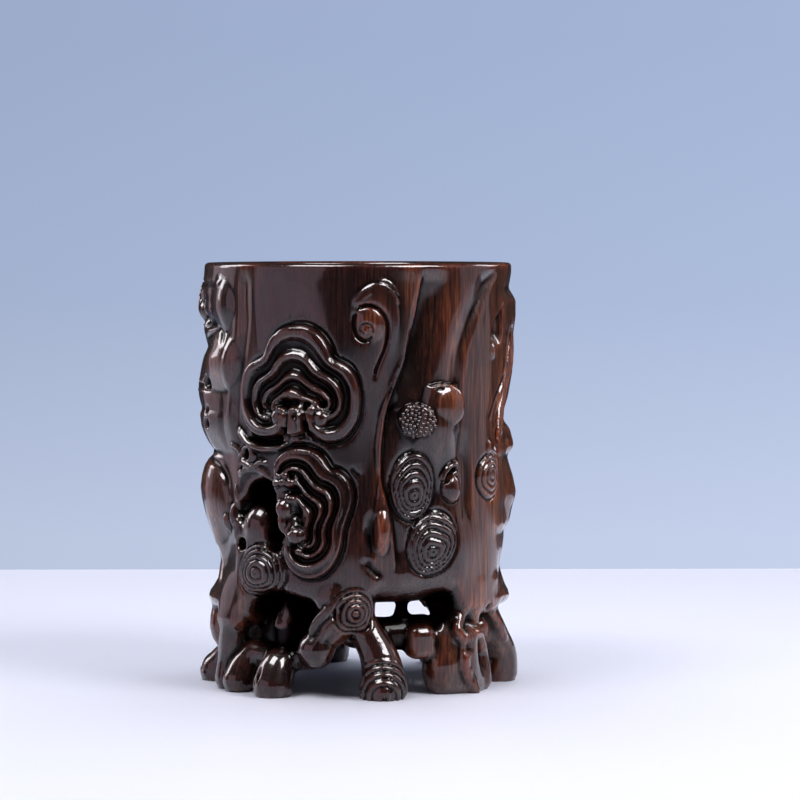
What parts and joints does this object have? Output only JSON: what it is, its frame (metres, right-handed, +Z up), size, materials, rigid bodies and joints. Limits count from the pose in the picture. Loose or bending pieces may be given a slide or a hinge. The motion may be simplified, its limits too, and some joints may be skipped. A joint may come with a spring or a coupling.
{
  "type": "brush pot",
  "caption": "Carved hardwood brush pot shaped as an old tree trunk standing on its roots, with a round bore, inset floor board and centre plug.",
  "frame": {"origin": "on the ground under the middle of the pot: centre of the bounding box's base", "axes": "+Z up along the bore, -Y is the front face with the two fungus heads at its left, +X to that face's right"},
  "size_m": [0.1209, 0.1199, 0.16],
  "materials": {
    "carved_hardwood": "deep red-brown to black rosewood, waxed and polished to a high gloss",
    "board_hardwood": "turned rosewood, oiled satin"
  },
  "bodies": {
    "root": {"carved_trunk": "carved_hardwood", "floor_board": "board_hardwood", "centre_plug": "board_hardwood"}
  },
  "joints": []
}
